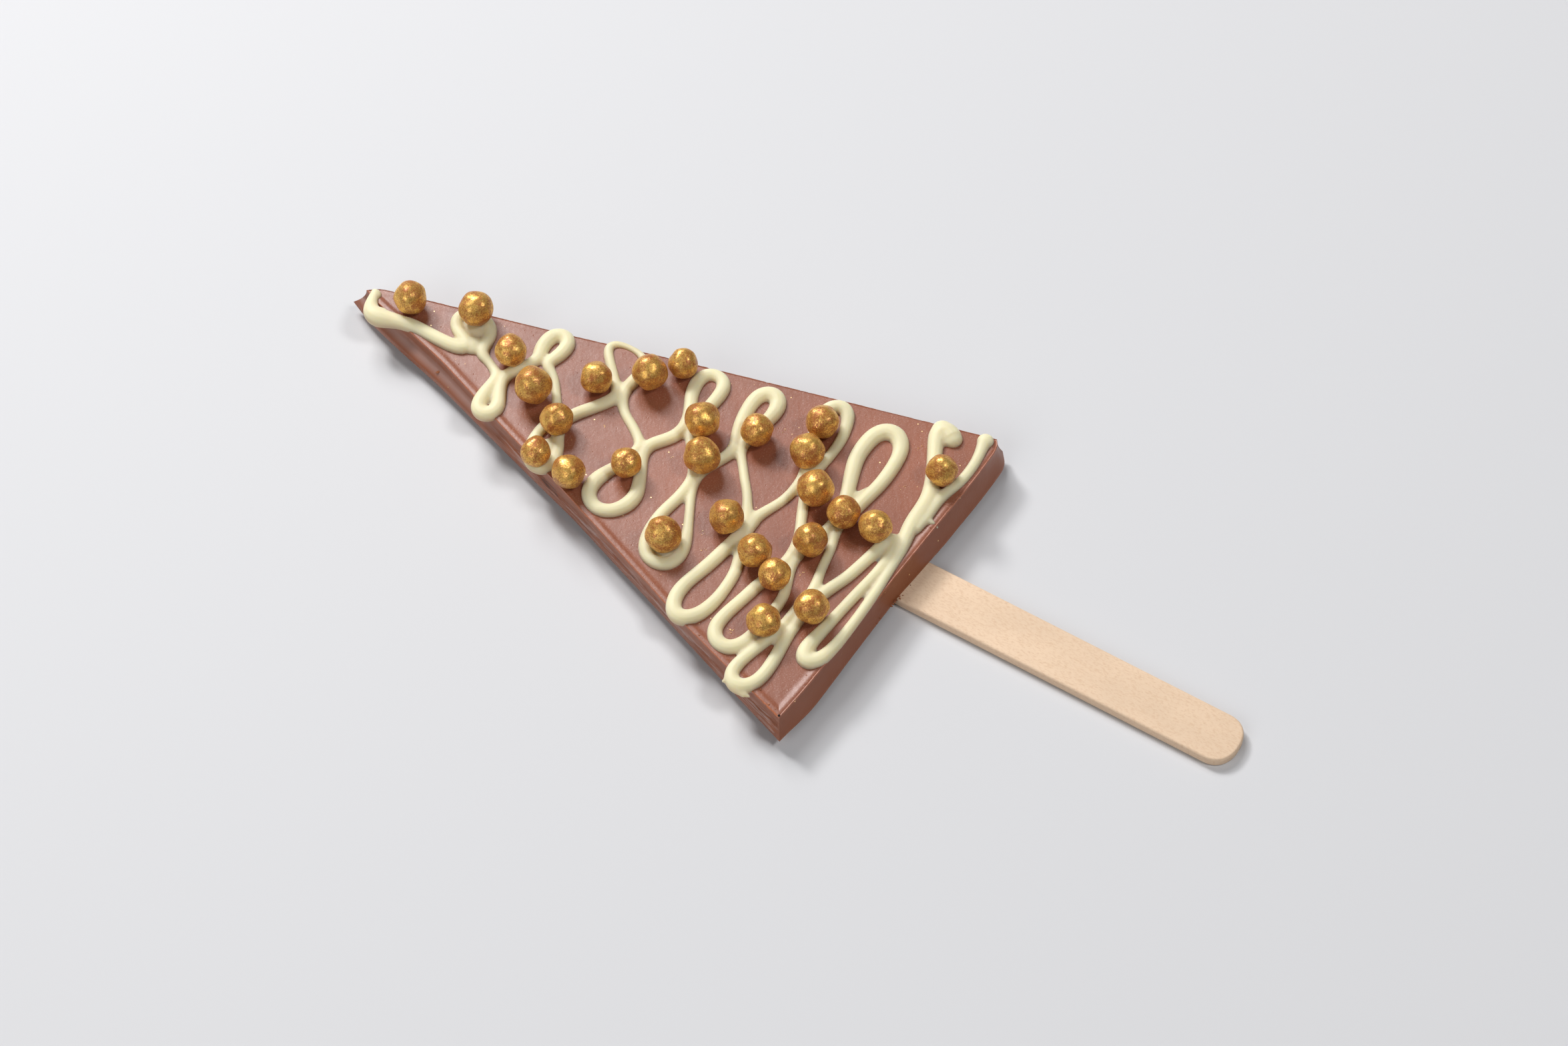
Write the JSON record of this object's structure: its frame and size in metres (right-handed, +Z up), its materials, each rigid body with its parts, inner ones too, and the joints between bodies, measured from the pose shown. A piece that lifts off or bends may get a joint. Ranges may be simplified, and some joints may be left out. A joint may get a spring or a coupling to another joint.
{
  "type": "chocolate lollipop",
  "caption": "Tree-shaped milk chocolate slab on a flat wooden stick, decorated with a looping line of piped white chocolate and gold sugar pearls. It lies on its stick.",
  "frame": {"origin": "middle of the footprint, at the height of the surface it lies on", "axes": "+Y along the stick, from its tip to the apex of the tree; +Z up, out of the decorated side; +X to the right of someone who looks down with the apex away from them"},
  "size_m": [0.0742, 0.1854, 0.0145],
  "materials": {
    "milk_chocolate": "satin milk chocolate, with the piped line in ivory white chocolate",
    "birch_wood": "smooth unvarnished birch",
    "gold_lustre": "sugar shell dusted with gold lustre, worn in patches"
  },
  "bodies": {
    "root": {"chocolate_slab": "milk_chocolate", "stick": "birch_wood", "pearl_01": "gold_lustre", "pearl_02": "gold_lustre", "pearl_03": "gold_lustre", "pearl_04": "gold_lustre", "pearl_05": "gold_lustre", "pearl_06": "gold_lustre", "pearl_07": "gold_lustre", "pearl_08": "gold_lustre", "pearl_09": "gold_lustre", "pearl_10": "gold_lustre", "pearl_11": "gold_lustre", "pearl_12": "gold_lustre", "pearl_13": "gold_lustre", "pearl_14": "gold_lustre", "pearl_15": "gold_lustre", "pearl_16": "gold_lustre", "pearl_17": "gold_lustre", "pearl_18": "gold_lustre", "pearl_19": "gold_lustre", "pearl_20": "gold_lustre", "pearl_21": "gold_lustre", "pearl_22": "gold_lustre", "pearl_23": "gold_lustre", "pearl_24": "gold_lustre", "pearl_25": "gold_lustre", "pearl_26": "gold_lustre", "pearl_27": "gold_lustre"}
  },
  "joints": []
}
